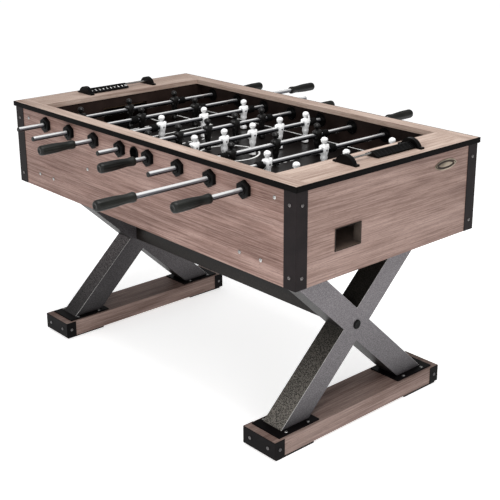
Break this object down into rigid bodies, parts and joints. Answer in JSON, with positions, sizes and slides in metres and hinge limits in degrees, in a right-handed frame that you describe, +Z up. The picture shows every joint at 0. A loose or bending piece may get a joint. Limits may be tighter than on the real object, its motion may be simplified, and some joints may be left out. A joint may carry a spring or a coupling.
{
  "type": "foosball table",
  "caption": "Table football game: wood-grain cabinet on steel X frames with sliding and spinning player rods, side bearings, goals with ball returns and abacus scorers",
  "frame": {"origin": "on the floor, under the middle of the cabinet", "axes": "+X along the cabinet towards the end with the badge plate, +Y across it along the rods, +Z up"},
  "size_m": [1.474, 1.566, 0.905],
  "materials": {
    "laminate": "textured wood-grain laminate",
    "top_laminate": "smooth pale wood-grain laminate",
    "dark_board": "black laminated board",
    "rail_wood": "plain sawn softwood",
    "edge_band": "black edge banding, satin",
    "bracket_paint": "black powder coat",
    "frame_paint": "grey hammered powder coat",
    "stretcher_paint": "dark brown-black powder coat",
    "black_plastic": "moulded black nylon",
    "bolt_steel": "bright zinc",
    "badge_metal": "brushed plate",
    "pad_rubber": "matt rubber",
    "rod_steel": "polished steel",
    "men_black": "semi-gloss moulded plastic",
    "men_white": "semi-gloss moulded plastic",
    "grip_rubber": "fluted black rubber",
    "bumper_rubber": "matt black rubber"
  },
  "bodies": {
    "table": {"side_panel_near": "laminate", "side_panel_far": "laminate", "end_panel_pos": "laminate", "end_panel_neg": "laminate", "goal_walls": "dark_board", "playfield": "dark_board", "top_side_rails": "top_laminate", "top_end_rails": "top_laminate", "edge_bands": "edge_band", "corner_brackets": "bracket_paint", "cross_rails": "rail_wood", "rod_bearings": "black_plastic", "serve_cups": "black_plastic", "ball_returns": "black_plastic", "badge_plate": "badge_metal", "x_frame_pos": "frame_paint", "x_frame_neg": "frame_paint", "frame_caps": "black_plastic", "stretcher": "stretcher_paint", "floor_beams": "laminate", "beam_caps": "bracket_paint", "foot_pads": "pad_rubber", "dark_screws": "bracket_paint", "panel_bolts": "bolt_steel", "scorer_brackets": "black_plastic", "scorer_rods": "bolt_steel"},
    "rod_1_slide": {"rod_1_bumpers": "bumper_rubber"},
    "rod_1_spin": {"rod_1_bar": "rod_steel", "rod_1_men": "men_black", "rod_1_handle": "grip_rubber"},
    "rod_2_slide": {"rod_2_bumpers": "bumper_rubber"},
    "rod_2_spin": {"rod_2_bar": "rod_steel", "rod_2_men": "men_black", "rod_2_handle": "grip_rubber"},
    "rod_3_slide": {"rod_3_bumpers": "bumper_rubber"},
    "rod_3_spin": {"rod_3_bar": "rod_steel", "rod_3_men": "men_white", "rod_3_handle": "grip_rubber"},
    "rod_4_slide": {"rod_4_bumpers": "bumper_rubber"},
    "rod_4_spin": {"rod_4_bar": "rod_steel", "rod_4_men": "men_black", "rod_4_handle": "grip_rubber"},
    "rod_5_slide": {"rod_5_bumpers": "bumper_rubber"},
    "rod_5_spin": {"rod_5_bar": "rod_steel", "rod_5_men": "men_white", "rod_5_handle": "grip_rubber"},
    "rod_6_slide": {"rod_6_bumpers": "bumper_rubber"},
    "rod_6_spin": {"rod_6_bar": "rod_steel", "rod_6_men": "men_black", "rod_6_handle": "grip_rubber"},
    "rod_7_slide": {"rod_7_bumpers": "bumper_rubber"},
    "rod_7_spin": {"rod_7_bar": "rod_steel", "rod_7_men": "men_white", "rod_7_handle": "grip_rubber"},
    "rod_8_slide": {"rod_8_bumpers": "bumper_rubber"},
    "rod_8_spin": {"rod_8_bar": "rod_steel", "rod_8_men": "men_white", "rod_8_handle": "grip_rubber"},
    "scorer_pos": {"scorer_pos_counters": "black_plastic"},
    "scorer_neg": {"scorer_neg_counters": "black_plastic"}
  },
  "joints": [
    {"name": "rod_1_slide", "type": "slide", "parent": "table", "child": "rod_1_slide", "axis": [0, 1, 0], "range_m": [-0.063, 0.097]},
    {"name": "rod_1_spin", "type": "hinge", "parent": "rod_1_slide", "child": "rod_1_spin", "pos_m": [-0.525, 0, 0.824], "axis": [0, 1, 0], "continuous": true},
    {"name": "rod_2_slide", "type": "slide", "parent": "table", "child": "rod_2_slide", "axis": [0, 1, 0], "range_m": [-0.22, 0.128]},
    {"name": "rod_2_spin", "type": "hinge", "parent": "rod_2_slide", "child": "rod_2_spin", "pos_m": [-0.375, 0, 0.824], "axis": [0, 1, 0], "continuous": true},
    {"name": "rod_3_slide", "type": "slide", "parent": "table", "child": "rod_3_slide", "axis": [0, 1, 0], "range_m": [-0.178, 0.047]},
    {"name": "rod_3_spin", "type": "hinge", "parent": "rod_3_slide", "child": "rod_3_spin", "pos_m": [-0.225, 0, 0.824], "axis": [0, 1, 0], "continuous": true},
    {"name": "rod_4_slide", "type": "slide", "parent": "table", "child": "rod_4_slide", "axis": [0, 1, 0], "range_m": [-0.03, 0.073]},
    {"name": "rod_4_spin", "type": "hinge", "parent": "rod_4_slide", "child": "rod_4_spin", "pos_m": [-0.075, 0, 0.824], "axis": [0, 1, 0], "continuous": true},
    {"name": "rod_5_slide", "type": "slide", "parent": "table", "child": "rod_5_slide", "axis": [0, 1, 0], "range_m": [-0.081, 0.022]},
    {"name": "rod_5_spin", "type": "hinge", "parent": "rod_5_slide", "child": "rod_5_spin", "pos_m": [0.075, 0, 0.824], "axis": [0, 1, 0], "continuous": true},
    {"name": "rod_6_slide", "type": "slide", "parent": "table", "child": "rod_6_slide", "axis": [0, 1, 0], "range_m": [-0.128, 0.097]},
    {"name": "rod_6_spin", "type": "hinge", "parent": "rod_6_slide", "child": "rod_6_spin", "pos_m": [0.225, 0, 0.824], "axis": [0, 1, 0], "continuous": true},
    {"name": "rod_7_slide", "type": "slide", "parent": "table", "child": "rod_7_slide", "axis": [0, 1, 0], "range_m": [-0.112, 0.236]},
    {"name": "rod_7_spin", "type": "hinge", "parent": "rod_7_slide", "child": "rod_7_spin", "pos_m": [0.375, 0, 0.824], "axis": [0, 1, 0], "continuous": true},
    {"name": "rod_8_slide", "type": "slide", "parent": "table", "child": "rod_8_slide", "axis": [0, 1, 0], "range_m": [-0.076, 0.084]},
    {"name": "rod_8_spin", "type": "hinge", "parent": "rod_8_slide", "child": "rod_8_spin", "pos_m": [0.525, 0, 0.824], "axis": [0, 1, 0], "continuous": true},
    {"name": "scorer_pos_slide", "type": "slide", "parent": "table", "child": "scorer_pos", "axis": [0, 1, 0], "range_m": [-0.096, 0]},
    {"name": "scorer_neg_slide", "type": "slide", "parent": "table", "child": "scorer_neg", "axis": [0, 1, 0], "range_m": [0, 0.096]}
  ]
}
